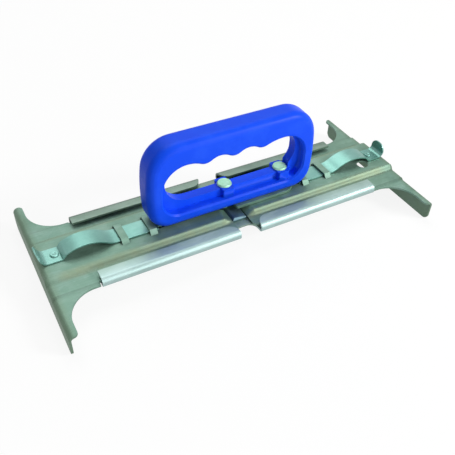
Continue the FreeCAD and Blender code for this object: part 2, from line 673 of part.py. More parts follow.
def rounded_in_flats(body, half, radius):
    """Round the outer edges of a slab with three flats that touch a quarter circle."""
    eighth, sixteenth = math.tan(math.pi / 8), math.tan(math.pi / 16)
    depth = radius * (1 - eighth)
    body = body.makeChamfer(depth, edges_along_y_sides(body, half))
    corners = edges_along_y_sides(body, half) + edges_along_y_sides(body, half - depth)
    return body.makeChamfer(radius * (eighth - sixteenth), corners)


def boss(x):
    """The square pad on the rib that a rivet's head sits on."""
    along, aside = BOSS_LENGTH / 2, BOSS_WIDTH / 2
    pad = block(x - along, x + along, -aside, aside, BASE_TOP - 1, BOSS_TOP)
    return pad.makeFillet(BOSS_ROUND, [e for e in pad.Edges if is_upright(e)])


def grip():
    """The moulded closed grip with its finger opening, recessed sides and rivet bosses."""
    half = GRIP_WIDTH / 2
    body = across(Part.Face(grip_outline()), half)
    body = rounded_in_flats(body, half, GRIP_EDGE)
    body = body.cut(block(-SPAN_CLOSED, SPAN_CLOSED, -HEAD_WIDTH, HEAD_WIDTH, -GRIP_BASE, GRIP_BASE))
    body = body.cut(finger_opening(half + 1).cut(rib()))
    rim = [e for e in edges_along_y_sides(body, half) if inside_outline(e)]
    body = body.makeChamfer(FINGER_EDGE, rim)
    body = body.multiFuse([boss(x) for x in GRIP_RIVETS.values()])
    clear = SHANK + 2 * (HEAD_RIM + HEAD_ROOM)
    cuts = [shank_hole(GRIP_BASE, BOSS_TOP, x) for x in GRIP_RIVETS.values()]
    cuts += [peg(clear, BOSS_TOP, (BOSS_TOP + FINGER_TOP) / 2, x) for x in GRIP_RIVETS.values()]
    return body.cut(cuts[0].multiFuse(cuts[1:])).removeSplitter()


# ---- pieces held by the grip's rivets ----
def grip_rivet(x):
    """A flat-headed rivet from the boss down through the channel floor."""
    shank = SHANK / 2
    head = shank + HEAD_RIM
    tail = shank + TAIL_RIM
    seat = FLOOR_UNDER - WASHER_THICK
    end = seat - TAIL_HEIGHT
    top = BOSS_TOP + HEAD_HEIGHT
    return turned([
        (0, end), (tail - TAIL_BEVEL, end), (tail, seat), (shank, seat),
        (shank, BOSS_TOP), (head, BOSS_TOP), (head - HEAD_BEVEL, top), (0, top),
    ], x, 0)


def ring(outer, z0, z1, x):
    """A sleeve or washer round a grip rivet."""
    return peg(outer, z0, z1, x).cut(shank_hole(z0, z1, x))


def stop_bar():
    """The bar between the two stems that their inner ends close against."""
    half = INNER_END - STOP_BAR_GAP
    bar = block(-half, half, -STOP_BAR_LENGTH / 2, STOP_BAR_LENGTH / 2, FLOOR_TOP, STOP_BAR_TOP)
    top = [e for e in bar.Edges if abs(e.CenterOfMass.z - STOP_BAR_TOP) < 1e-6]
    bar = bar.makeChamfer(STOP_BAR_EDGE, top)
    x = GRIP_RIVETS["middle"]
    bar = bar.fuse(peg(SLEEVE_DIAMETER, FLOOR_TOP, STOP_BAR_TOP, x))
    return bar.cut(shank_hole(FLOOR_TOP, STOP_BAR_TOP, x)).removeSplitter()


def cover_plate():
    """The plate between the grip and the right-hand stem, over that stem's slot."""
    start = GRIP_RIVETS["middle"] + SLEEVE_DIAMETER / 2 + SEAT_GAP
    half = COVER_WIDTH / 2
    end = FOOT_AT - COVER_END_GAP - half
    plate = block(start, end, -half, half, COVER_UNDER, GRIP_BASE)
    corners = [e for e in plate.Edges if is_upright(e) and e.Vertexes[0].X < end - 1]
    plate = plate.makeFillet(COVER_CORNER, corners).fuse(peg(COVER_WIDTH, COVER_UNDER, GRIP_BASE, end))
    return plate.cut(shank_hole(COVER_UNDER, GRIP_BASE, GRIP_RIVETS["right"])).removeSplitter()


def main():
    plate = tee_plate()
    strap = catch_strap()
    pin = catch_rivet()
    pieces = {
        "body_channel": channel(),
        "right_tee_plate": plate,
        "left_tee_plate": half_turned(plate),
        "right_catch_strap": strap,
        "left_catch_strap": half_turned(strap),
        "right_catch_rivet": pin,
        "left_catch_rivet": half_turned(pin),
        "grip_handle": grip(),
        "centre_stop_bar": stop_bar(),
        "slot_cover_plate": cover_plate(),
    }
    sleeve_ends = {"middle": (STOP_BAR_TOP, GRIP_BASE), "right": (FLOOR_TOP, COVER_UNDER)}
    washer = SHANK + 2 * WASHER_RIM
    for name, x in GRIP_RIVETS.items():
        low, high = sleeve_ends[name]
        pieces[name + "_grip_rivet"] = grip_rivet(x)
        pieces[name + "_rivet_sleeve"] = ring(SLEEVE_DIAMETER, low, high, x)
        pieces[name + "_rivet_washer"] = ring(washer, FLOOR_UNDER - WASHER_THICK, FLOOR_UNDER, x)
    os.makedirs("parts", exist_ok=True)
    for name, shape in pieces.items():
        shape.exportStep("parts/" + name + ".step")
        print(name, shape.ShapeType, len(shape.Solids), round(shape.Volume), shape.isValid())


main()
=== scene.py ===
"""Looks of the brick jointer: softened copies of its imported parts, their finishes and a studio.

Everything is in metres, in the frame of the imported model. X runs along the tool and Z points up.
"""

import logging
import math
from collections.abc import Callable
from dataclasses import dataclass, field
from enum import Enum

import bmesh
import bpy
from mathutils import Matrix, Vector

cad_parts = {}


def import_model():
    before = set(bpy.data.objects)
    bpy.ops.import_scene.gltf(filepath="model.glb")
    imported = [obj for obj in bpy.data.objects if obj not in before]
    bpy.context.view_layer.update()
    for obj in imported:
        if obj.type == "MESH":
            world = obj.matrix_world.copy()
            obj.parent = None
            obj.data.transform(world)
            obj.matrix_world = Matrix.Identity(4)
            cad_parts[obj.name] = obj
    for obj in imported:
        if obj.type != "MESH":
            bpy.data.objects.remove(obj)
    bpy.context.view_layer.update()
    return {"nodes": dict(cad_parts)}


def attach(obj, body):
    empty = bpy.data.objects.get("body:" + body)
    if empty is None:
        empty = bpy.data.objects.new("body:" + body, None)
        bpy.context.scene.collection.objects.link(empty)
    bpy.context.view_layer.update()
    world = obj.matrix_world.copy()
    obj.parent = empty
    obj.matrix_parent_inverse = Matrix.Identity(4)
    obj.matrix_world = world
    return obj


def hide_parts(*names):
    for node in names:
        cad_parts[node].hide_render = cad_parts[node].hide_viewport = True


LOG = logging.getLogger("brick_jointer")
MM = 0.001

# What counts as one place, one flat and no width when triangles are joined and edges bevelled.
SEAM_MM = 0.001
FLAT_DEG = 0.5
DOUBLE_MM = 0.004
SLIVER_MM = 0.002
# Least cosines for an edge that runs along X, and for a face that is turned outwards.
ALONG_X = 0.99
OUTWARD = -0.02

# Sockets of a Mix node, by number, because several of them share a name.
SHARE, NUMBER_A, NUMBER_B, COLOUR_A, COLOUR_B = 0, 2, 3, 6, 7
MIXED_NUMBER, MIXED_COLOUR = 0, 2


# ---- colours and nodes ----
def linear(hex_colour: str) -> tuple[float, float, float, float]:
    """Turn an sRGB hex colour into linear RGBA.

    Args:
        hex_colour: a colour such as "8FB3A2".

    Returns:
        The linear colour with an alpha of 1.
    """
    channels = [int(hex_colour[i:i + 2], 16) / 255 for i in (0, 2, 4)]
    curve = [c / 12.92 if c <= 0.04045 else ((c + 0.055) / 1.055) ** 2.4 for c in channels]
    return (curve[0], curve[1], curve[2], 1.0)


def add_node(tree: bpy.types.NodeTree, kind: str, settings: dict | None = None,
             inputs: dict | None = None) -> bpy.types.Node:
    """Add a node with its settings, input values and incoming links.

    Args:
        tree: the node tree to add to.
        kind: the node's type name.
        settings: attributes to set on the node.
        inputs: socket name or number to a value, or to another node's output socket.

    Returns:
        The new node.
    """
    node = tree.nodes.new(kind)
    for name, value in (settings or {}).items():
        setattr(node, name, value)
    for name, value in (inputs or {}).items():
        if isinstance(value, bpy.types.NodeSocket):
            tree.links.new(value, node.inputs[name])
        else:
            node.inputs[name].default_value = value
    return node


def new_material(name: str) -> tuple[bpy.types.Material, bpy.types.NodeTree]:
    """Make an empty node material.

    Args:
        name: the material's name.

    Returns:
        The material and its cleared node tree.
    """
    material = bpy.data.materials.new(name)
    material.use_nodes = True
    material.node_tree.nodes.clear()
    return material, material.node_tree


# ---- finishes ----
@dataclass(frozen=True)
class GalvanisedSheet:
    """Zinc-coated mild steel, rolled, pressed and left bare.

    Its zinc gives the eye a dull grey-green skin with faint crystals, streaks along the rolling
    direction, cloudy stains from handling, painted shade in the corners and a soft sheen, not a
    mirror. It can also carry a painted reflection along pressed flanks, and a painted highlight
    on near rails with painted shade on far ones.
    """

    name: str
    body: str
    shade: str
    light: str
    metallic: float = 0.72
    roughness: float = 0.44
    # How far rubbed zinc falls below its usual roughness, and stained zinc rises above it.
    roughness_spread: tuple[float, float] = (0.06, 0.1)

    # Zinc crystals are 3 to 10 mm across. Streaks come along X, where the sheet was rolled.
    crystal_mm: float = 6.0
    crystal_share: float = 0.14
    rolled_stretch: tuple[float, float, float] = (0.07, 1.0, 1.0)
    # Rolling lines are about 0.1 mm wide. They are drawn coarser, so that they show.
    streak_mm: float = 0.9
    streak_share: float = 0.3
    # The coat's grain is finer than 0.1 mm. It is drawn coarser too.
    grain_mm: float = 0.5
    grain_share: float = 0.3
    bump_strength: float = 0.2
    bump_mm: float = 0.05
    # Where the wear pattern reaches the shade, the body colour and the light.
    tone_stops: tuple[float, float, float] = (0.30, 0.50, 0.72)
    # Stains are as wide as a finger's rub, and tarnish spreads wider than they do.
    stain_mm: float = 24.0
    cloud_mm: float = 38.0
    tarnish: str = "748364"
    tarnish_share: float = 0.12

    # The zinc is darkened to olive towards the two ends. At 0 it isn't.
    ends_from_mm: float = 0.0
    ends_over_mm: float = 6.0
    ends_share: float = 0.45
    ends_colour: str = "596446"

    # A painted yellow-brown reflection runs along the ridge's pressed flanks. At 0 it doesn't.
    press_line_mm: float = 0.0
    reflection_core_mm: float = 0.5
    reflection_reach_mm: float = 4.0
    reflection_share: float = 0.8
    reflection_patch_mm: float = 9.0
    reflection_fades_mm: tuple[float, float] = (126.0, 136.0)
    reflection_colour: str = "848664"

    # Painted highlight on the near rails and painted shade on the far ones.
    sides: bool = False
    rail_mm: tuple[float, float] = (22.0, 34.0)
    near_highlight_share: float = 0.38
    near_highlight_colour: str = "C0DCE2"
    far_shade_share: float = 0.6
    far_shade_colour: str = "4F5C53"

    # Painted shade darkens corners for about two sheet thicknesses.
    corner_shade_mm: float = 3.2
    corner_shade_share: float = 0.85
    corner_shade_colour: str = "2F3934"

    def darkened(self, tree: bpy.types.NodeTree, skin: bpy.types.NodeSocket,
                 place: bpy.types.NodeSocket) -> bpy.types.NodeSocket:
        """Darken the zinc to olive towards the two ends, over the flanges.

        Args:
            tree: the material's node tree.
            skin: the colour so far.
            place: the object coordinates.

        Returns:
            The colour with its ends darkened.
        """
        axes = add_node(tree, "ShaderNodeSeparateXYZ", {}, {"Vector": place})
        along = add_node(tree, "ShaderNodeMath", {"operation": "ABSOLUTE"}, {0: axes.outputs["X"]})
        amount = add_node(tree, "ShaderNodeMapRange", {}, {
            "Value": along.outputs[0], "From Min": self.ends_from_mm * MM,
            "From Max": (self.ends_from_mm + self.ends_over_mm) * MM,
            "To Min": 0.0, "To Max": self.ends_share})
        ends = add_node(tree, "ShaderNodeMix", {"data_type": "RGBA"}, {
            SHARE: amount.outputs["Result"], COLOUR_A: skin, COLOUR_B: linear(self.ends_colour)})
        return ends.outputs[MIXED_COLOUR]

    def paint_flank_reflection(self, tree: bpy.types.NodeTree, skin: bpy.types.NodeSocket,
                 place: bpy.types.NodeSocket) -> bpy.types.NodeSocket:
        """Paint a yellow-brown reflection along the ridge's flanks, in patches, fading towards the
        ends.
            skin: the colour so far.
            place: the object coordinates.

        Returns:
            The colour with its press lines yellowed.
        """
        axes = add_node(tree, "ShaderNodeSeparateXYZ", {}, {"Vector": place})
        across = add_node(tree, "ShaderNodeMath", {"operation": "ABSOLUTE"}, {0: axes.outputs["Y"]})
        beside = add_node(tree, "ShaderNodeMath", {"operation": "SUBTRACT"}, {
            0: across.outputs[0], 1: self.press_line_mm * MM})
        apart = add_node(tree, "ShaderNodeMath", {"operation": "ABSOLUTE"}, {0: beside.outputs[0]})
        # Painted reflection: strongest on the flank line, gone beyond its reach.
        on_line = add_node(tree, "ShaderNodeMapRange", {}, {
            "Value": apart.outputs[0], "From Min": self.reflection_core_mm * MM,
            "From Max": self.reflection_reach_mm * MM, "To Min": self.reflection_share, "To Max": 0.0})
        along = add_node(tree, "ShaderNodeMath", {"operation": "ABSOLUTE"}, {0: axes.outputs["X"]})
        fades_from, fades_to = self.reflection_fades_mm
        on_stem = add_node(tree, "ShaderNodeMapRange", {}, {
            "Value": along.outputs[0], "From Min": fades_from * MM, "From Max": fades_to * MM,
            "To Min": 1.0, "To Max": 0.0})
        patches = add_node(tree, "ShaderNodeTexNoise", {}, {
            "Vector": place, "Scale": 1 / (self.reflection_patch_mm * MM), "Detail": 4.0,
            "Roughness": 0.6})
        patchy = add_node(tree, "ShaderNodeMath", {"operation": "MULTIPLY"}, {
            0: on_line.outputs["Result"], 1: patches.outputs["Fac"]})
        amount = add_node(tree, "ShaderNodeMath", {"operation": "MULTIPLY"}, {
            0: patchy.outputs[0], 1: on_stem.outputs["Result"]})
        lines = add_node(tree, "ShaderNodeMix", {"data_type": "RGBA"}, {
            SHARE: amount.outputs[0], COLOUR_A: skin, COLOUR_B: linear(self.reflection_colour)})
        return lines.outputs[MIXED_COLOUR]

    def paint_side_light(self, tree: bpy.types.NodeTree, skin: bpy.types.NodeSocket,
                place: bpy.types.NodeSocket) -> bpy.types.NodeSocket:
        """Paint a highlight on the near rails and shade on the far ones.

        Args:
            tree: the material's node tree.
            skin: the colour so far.
            place: the object coordinates.

        Returns:
            The colour with painted highlight and shade on its two sides.
        """
        inner, outer = self.rail_mm
        axes = add_node(tree, "ShaderNodeSeparateXYZ", {}, {"Vector": place})
        # Painted highlight towards the near rails, painted shade towards the far ones.
        bright = add_node(tree, "ShaderNodeMapRange", {}, {
            "Value": axes.outputs["Y"], "From Min": -outer * MM, "From Max": -inner * MM,
            "To Min": self.near_highlight_share, "To Max": 0.0})
        dull = add_node(tree, "ShaderNodeMapRange", {}, {
            "Value": axes.outputs["Y"], "From Min": inner * MM, "From Max": outer * MM,
            "To Min": 0.0, "To Max": self.far_shade_share})
        near = add_node(tree, "ShaderNodeMix", {"data_type": "RGBA"}, {
            SHARE: bright.outputs["Result"], COLOUR_A: skin, COLOUR_B: linear(self.near_highlight_colour)})
        both = add_node(tree, "ShaderNodeMix", {"data_type": "RGBA"}, {
            SHARE: dull.outputs["Result"], COLOUR_A: near.outputs[MIXED_COLOUR],
            COLOUR_B: linear(self.far_shade_colour)})
        return both.outputs[MIXED_COLOUR]

    def paint_corner_shade(self, tree: bpy.types.NodeTree,
              skin: bpy.types.NodeSocket) -> bpy.types.NodeSocket:
        """Paint shade into the piece's own corners and folds, darkest where they are most enclosed.

        Args:
            tree: the material's node tree.
            skin: the colour so far.

        Returns:
            The colour with painted shade in its corners.
        """
        # Painted shade: an occlusion mask darkens the corners and folds.
        corners = add_node(tree, "ShaderNodeAmbientOcclusion", {"only_local": True, "samples": 6}, {
            "Distance": self.corner_shade_mm * MM})
        amount = add_node(tree, "ShaderNodeMapRange", {}, {
            "Value": corners.outputs["AO"], "From Min": 0.5, "From Max": 0.98,
            "To Min": self.corner_shade_share, "To Max": 0.0})
        corner_shaded = add_node(tree, "ShaderNodeMix", {"data_type": "RGBA"}, {
            SHARE: amount.outputs["Result"], COLOUR_A: skin, COLOUR_B: linear(self.corner_shade_colour)})
        return corner_shaded.outputs[MIXED_COLOUR]

    def build(self) -> bpy.types.Material:
        """Build the material's nodes.

        Returns:
            The finished material.
        """
        material, tree = new_material(self.name)
        place = add_node(tree, "ShaderNodeTexCoord").outputs["Object"]
        stretched = add_node(tree, "ShaderNodeMapping", {}, {
            "Vector": place, "Scale": self.rolled_stretch})
        crystals = add_node(tree, "ShaderNodeTexVoronoi", {}, {
            "Vector": place, "Scale": 1 / (self.crystal_mm * MM), "Randomness": 1.0})
        streaks = add_node(tree, "ShaderNodeTexNoise", {}, {
            "Vector": stretched.outputs["Vector"], "Scale": 1 / (self.streak_mm * MM),
            "Detail": 3.0, "Roughness": 0.6})
        stains = add_node(tree, "ShaderNodeTexNoise", {}, {
            "Vector": place, "Scale": 1 / (self.stain_mm * MM), "Detail": 5.0, "Roughness": 0.6})
        grain = add_node(tree, "ShaderNodeTexNoise", {}, {
            "Vector": place, "Scale": 1 / (self.grain_mm * MM), "Detail": 2.0})
        cell = add_node(tree, "ShaderNodeSeparateColor", {}, {"Color": crystals.outputs["Color"]})
        tone = add_node(tree, "ShaderNodeMix", {"data_type": "FLOAT"}, {
            SHARE: self.crystal_share, NUMBER_A: stains.outputs["Fac"],
            NUMBER_B: cell.outputs["Red"]})
        worn = add_node(tree, "ShaderNodeMix", {"data_type": "FLOAT"}, {
            SHARE: self.streak_share, NUMBER_A: tone.outputs[MIXED_NUMBER],
            NUMBER_B: streaks.outputs["Fac"]})
        wear = worn.outputs[MIXED_NUMBER]
        ramp = add_node(tree, "ShaderNodeValToRGB", {}, {"Fac": wear})
        darkest, lightest = ramp.color_ramp.elements
        darkest.position = self.tone_stops[0]
        darkest.color = linear(self.shade)
        lightest.position = self.tone_stops[2]
        lightest.color = linear(self.light)
        middle = ramp.color_ramp.elements.new(self.tone_stops[1])
        middle.color = linear(self.body)
        clouds = add_node(tree, "ShaderNodeTexNoise", {}, {
            "Vector": place, "Scale": 1 / (self.cloud_mm * MM), "Detail": 2.0, "Roughness": 0.5})
        dull = add_node(tree, "ShaderNodeMapRange", {}, {
            "Value": clouds.outputs["Fac"], "From Min": 0.4, "From Max": 0.64,
            "To Min": 0.0, "To Max": self.tarnish_share})
        zinc = add_node(tree, "ShaderNodeMix", {"data_type": "RGBA"}, {
            SHARE: dull.outputs["Result"], COLOUR_A: ramp.outputs["Color"],
            COLOUR_B: linear(self.tarnish)})
        skin = zinc.outputs[MIXED_COLOUR]
        if self.ends_from_mm:
            skin = self.darkened(tree, skin, place)
        # Painted reflection along the ridge's flanks.
        if self.press_line_mm:
            skin = self.paint_flank_reflection(tree, skin, place)
        # Painted highlight on the near rails, painted shade on the far ones.
        if self.sides:
            skin = self.paint_side_light(tree, skin, place)
        # Painted shade in the corners and folds.
        skin = self.paint_corner_shade(tree, skin)
        smoothest, roughest = self.roughness_spread
        rough = add_node(tree, "ShaderNodeMapRange", {}, {
            "Value": wear, "From Min": 0.3, "From Max": 0.75,
            "To Min": self.roughness - smoothest, "To Max": self.roughness + roughest})
        height = add_node(tree, "ShaderNodeMix", {"data_type": "FLOAT"}, {
            SHARE: self.grain_share, NUMBER_A: streaks.outputs["Fac"],
            NUMBER_B: grain.outputs["Fac"]})
        bump = add_node(tree, "ShaderNodeBump", {}, {
            "Height": height.outputs[MIXED_NUMBER], "Strength": self.bump_strength,
            "Distance": self.bump_mm * MM})
        shader = add_node(tree, "ShaderNodeBsdfPrincipled", {}, {
            "Base Color": skin, "Metallic": self.metallic,
            "Roughness": rough.outputs["Result"], "Normal": bump.outputs["Normal"]})
        add_node(tree, "ShaderNodeOutputMaterial", {}, {"Surface": shader.outputs["BSDF"]})
        return material


@dataclass(frozen=True)
class MouldedPolypropylene:
    """Injection-moulded polypropylene, coloured through.

    It gives the eye a deep, even blue with a satin sheen, a fine mould grain and paler rubbed
    patches where hands and the toolbox have scuffed it.
    """

    name: str
    body: str
    rubbed: str
    roughness: float = 0.36
    # Its typical IOR is 1.49. Rubbed plastic looks less glassy, so these two are lower.
    ior: float = 1.33
    specular_level: float = 0.2
    # How far rubbed and dull patches fall below and rise above the usual roughness.
    roughness_spread: tuple[float, float] = (0.05, 0.1)
    # The mould's spark grain is about 0.05 mm. It is drawn coarser, so that it shows.
    grain_mm: float = 0.45
    bump_strength: float = 0.15
    bump_mm: float = 0.05
    # Rubbed patches are as wide as a fingertip.
    rub_mm: float = 14.0
    rub_share: float = 0.4

    def build(self) -> bpy.types.Material:
        """Build the material's nodes.

        Returns:
            The finished material.
        """
        material, tree = new_material(self.name)
        place = add_node(tree, "ShaderNodeTexCoord").outputs["Object"]
        grain = add_node(tree, "ShaderNodeTexNoise", {}, {
            "Vector": place, "Scale": 1 / (self.grain_mm * MM), "Detail": 2.0, "Roughness": 0.5})
        handling = add_node(tree, "ShaderNodeTexNoise", {}, {
            "Vector": place, "Scale": 1 / (self.rub_mm * MM), "Detail": 5.0, "Roughness": 0.6})
        rubbed = add_node(tree, "ShaderNodeMapRange", {}, {
            "Value": handling.outputs["Fac"], "From Min": 0.48, "From Max": 0.8,
            "To Min": 0.0, "To Max": self.rub_share})
        colour = add_node(tree, "ShaderNodeMix", {"data_type": "RGBA"}, {
            SHARE: rubbed.outputs["Result"], COLOUR_A: linear(self.body),
            COLOUR_B: linear(self.rubbed)})
        smoothest, roughest = self.roughness_spread
        rough = add_node(tree, "ShaderNodeMapRange", {}, {
            "Value": handling.outputs["Fac"], "From Min": 0.3, "From Max": 0.7,
            "To Min": self.roughness - smoothest, "To Max": self.roughness + roughest})
        bump = add_node(tree, "ShaderNodeBump", {}, {
            "Height": grain.outputs["Fac"], "Strength": self.bump_strength,
            "Distance": self.bump_mm * MM})
        shader = add_node(tree, "ShaderNodeBsdfPrincipled", {}, {
            "Base Color": colour.outputs[MIXED_COLOUR], "Roughness": rough.outputs["Result"],
            "IOR": self.ior, "Specular IOR Level": self.specular_level,
            "Normal": bump.outputs["Normal"]})
        add_node(tree, "ShaderNodeOutputMaterial", {}, {"Surface": shader.outputs["BSDF"]})
        return material


@dataclass(frozen=True)
class Finishes:
    """The finishes of the whole tool, built once."""

    channel: bpy.types.Material
    plate: bpy.types.Material
    strap: bpy.types.Material
    rivet: bpy.types.Material
    bar: bpy.types.Material
    plastic: bpy.types.Material

    @classmethod
    def build(cls) -> "Finishes":
        """Build every finish.

        Returns:
            The set of finished materials.
        """
        # Hot-dip galvanised: pale grey-green, with a painted highlight on the near rails, painted
        # shade on the far ones and a broken sheen.
        channel = GalvanisedSheet("galvanised_steel_channel", "799084", "647D70", "93A69D",
                                  sides=True)
        # Galvanised and pressed: duller and greener, olive flanges and a painted yellow-brown
        # reflection along the ridge's flanks.
        plate = GalvanisedSheet("galvanised_steel_plate", "6D8D7F", "5A7A6D", "86A197",
                                roughness=0.56, ends_from_mm=133.0, press_line_mm=18.5)
        # Electroplated spring steel: even, blue-green and the glossiest of the metals.
        strap = GalvanisedSheet("zinc_plated_spring_steel", "709F95", "618E86", "87B0A9",
                                roughness=0.36, crystal_share=0.0, streak_mm=0.6,
                                tarnish_share=0.0)
        # Electroplated and tumbled: pale mint heads with a flat, soft shine.
        rivet = GalvanisedSheet("zinc_plated_rivet_steel", "9DD0AE", "87B799", "B9E1CA",
                                metallic=0.45, roughness=0.5, crystal_share=0.0, stain_mm=5.0,
                                tarnish_share=0.0)
        # Galvanised bar in the notch: painted slate blue as a reflection of the blue grip over it,
        # darker than the sheet round it.
        bar = GalvanisedSheet("galvanised_steel_bar", "59737C", "465F69", "6F8990",
                              roughness=0.5, crystal_share=0.05, tarnish_share=0.0)
        # Moulded and coloured through: strong blue with a satin sheen.
        plastic = MouldedPolypropylene("moulded_polypropylene", "0E48E2", "2A60EC")
        return cls(channel=channel.build(), plate=plate.build(), strap=strap.build(),
                   rivet=rivet.build(), bar=bar.build(), plastic=plastic.build())


# ---- modelling helpers ----
@dataclass(frozen=True)
class EdgeRound:
    """A rounding of the edges whose two faces meet within a span of angles.

    With a centre given as X and Z, only edges with both faces turned away from it are taken. A
    rule for the ridge takes only the edges that run along a plate's ridge.
    """

    width_mm: float
    segments: int
    least_deg: float
    most_deg: float
    clamp: bool = True
    centre_mm: tuple[float, float] | None = None
    ridge_only: bool = False
    ridge_from_mm: float = 60.0
    ridge_half_mm: float = 25.0
    shortest_mm: float = 2.0

    def runs_along_ridge(self, start: Vector, end: Vector) -> bool:
        """Tell whether an edge runs along a plate's ridge, outside the grip.

        Args:
            start: one end of the edge.
            end: its other end.

        Returns:
            Whether it belongs to the ridge.
        """
        run, middle = end - start, (start + end) / 2
        return (run.length > self.shortest_mm * MM and abs(run.normalized().x) > ALONG_X
                and abs(middle.x) > self.ridge_from_mm * MM
                and abs(middle.y) < self.ridge_half_mm * MM)

    def takes(self, edge: bmesh.types.BMEdge) -> bool:
        """Tell whether the rule takes an edge.

        Args:
            edge: an edge of the piece in edit mode.

        Returns:
            Whether it is one to round.
        """
        if not self.least_deg <= math.degrees(edge.calc_face_angle(0.0)) < self.most_deg:
            return False
        start, end = edge.verts[0].co, edge.verts[1].co
        if self.ridge_only and not self.runs_along_ridge(start, end):
            return False
        if self.centre_mm is None:
            return True
        middle = (start + end) / 2
        away = Vector((middle.x - self.centre_mm[0] * MM, 0, middle.z - self.centre_mm[1] * MM))
        away.normalize()
        return all(face.normal.dot(away) > OUTWARD for face in edge.link_faces)


def select_only(piece: bpy.types.Object) -> None:
    """Deselect everything, then select one object and make it active.

    Args:
        piece: the object to select.
    """
    bpy.ops.object.select_all(action="DESELECT")
    piece.select_set(True)
    bpy.context.view_layer.objects.active = piece


def select_vertices(piece: bpy.types.Object, wanted: Callable[[Vector], bool]) -> None:
    """Go into edit mode with only the wanted vertices of a piece selected.

    Args:
        piece: the object to work on.
        wanted: tells from a vertex's place whether to select it.
    """
    bpy.ops.object.mode_set(mode="OBJECT")
    select_only(piece)
    bpy.ops.object.mode_set(mode="EDIT")
    bpy.ops.mesh.select_mode(type="VERT")
    bpy.ops.mesh.select_all(action="DESELECT")
    mesh = bmesh.from_edit_mesh(piece.data)
    for vertex in mesh.verts:
        vertex.select_set(wanted(vertex.co))
    mesh.select_flush_mode()
    bmesh.update_edit_mesh(piece.data)


def round_edges(piece: bpy.types.Object, rule: EdgeRound) -> None:
    """Bevel the edges that a rule names.

    Args:
        piece: the object to work on.
        rule: which edges, how wide and how fine.
    """
    select_only(piece)
    bpy.ops.object.mode_set(mode="EDIT")
    bpy.ops.mesh.select_mode(type="EDGE")
    bpy.ops.mesh.select_all(action="DESELECT")
    mesh = bmesh.from_edit_mesh(piece.data)
    for edge in mesh.edges:
        edge.select_set(rule.takes(edge))
    bmesh.update_edit_mesh(piece.data)
    bpy.ops.mesh.bevel(offset=rule.width_mm * MM, segments=rule.segments, profile=0.5,
                       affect="EDGES", clamp_overlap=rule.clamp)
    bpy.ops.mesh.select_all(action="SELECT")
    bpy.ops.mesh.remove_doubles(threshold=DOUBLE_MM * MM)
    bpy.ops.mesh.dissolve_degenerate(threshold=SLIVER_MM * MM)
    bpy.ops.object.mode_set(mode="OBJECT")


def merged_copy(node: bpy.types.Object, name: str) -> bpy.types.Object:
    """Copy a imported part's mesh with its triangles joined and its flat seams dissolved.

    Args:
        node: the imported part.
        name: the copy's name.

    Returns:
        The copy, with its own mesh.
    """
    copy = bpy.data.objects.new(name, node.data.copy())
    copy.data.materials.clear()
    bpy.context.scene.collection.objects.link(copy)
    select_only(copy)
    bpy.ops.object.mode_set(mode="EDIT")
    bpy.ops.mesh.select_all(action="SELECT")
    bpy.ops.mesh.remove_doubles(threshold=SEAM_MM * MM)
    bpy.ops.mesh.dissolve_limited(angle_limit=math.radians(FLAT_DEG))
    bpy.ops.object.mode_set(mode="OBJECT")
    return copy


def smooth(piece: bpy.types.Object, angle_deg: float = 32.0) -> None:
    """Shade a piece smooth over its rounds and keep its flats flat.

    Args:
        piece: the object to shade.
        angle_deg: edges sharper than this stay sharp.
    """
    select_only(piece)
    bpy.ops.object.shade_smooth_by_angle(angle=math.radians(angle_deg))
    bpy.ops.object.modifier_add(type="WEIGHTED_NORMAL")
    piece.modifiers[-1].keep_sharp = True
    bpy.ops.object.modifier_apply(modifier=piece.modifiers[-1].name)


def finish_piece(piece: bpy.types.Object, nodes: list[str], body: str,
                 material: bpy.types.Material) -> None:
    """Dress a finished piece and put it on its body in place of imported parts.

    Args:
        piece: the finished object.
        nodes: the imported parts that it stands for.
        body: the body that it rides on.
        material: its finish.
    """
    piece.data.materials.append(material)
    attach(piece, body)
    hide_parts(*nodes)
    LOG.info("%s: %d faces, %s, on %s", piece.name, len(piece.data.polygons), material.name, body)


# ---- sub-assemblies ----
class Side(Enum):
    """The two ends of the tool."""

    RIGHT = "right"
    LEFT = "left"


@dataclass
class ChannelBody:
    """The folded channel, the bar between the stems and the plate over the slot."""

    sheared: EdgeRound = EdgeRound(0.18, 2, 50.0, 181.0)
    body: str = "channel_and_grip"

    def build(self, nodes: dict[str, bpy.types.Object], finishes: Finishes) -> None:
        """Soften the three pieces' edges and dress them.

        Args:
            nodes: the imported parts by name.
            finishes: the tool's finishes.
        """
        for name, visual, slot, material in (
                ("body_channel", "folded_channel", "galvanised", finishes.channel),
                ("centre_stop_bar", "stop_bar", "rivet_steel", finishes.bar),
                ("slot_cover_plate", "cover_plate", "rivet_steel", finishes.plate)):
            piece = merged_copy(nodes[name], visual)
            round_edges(piece, self.sheared)
            smooth(piece)
            finish_piece(piece, [name], self.body, material)


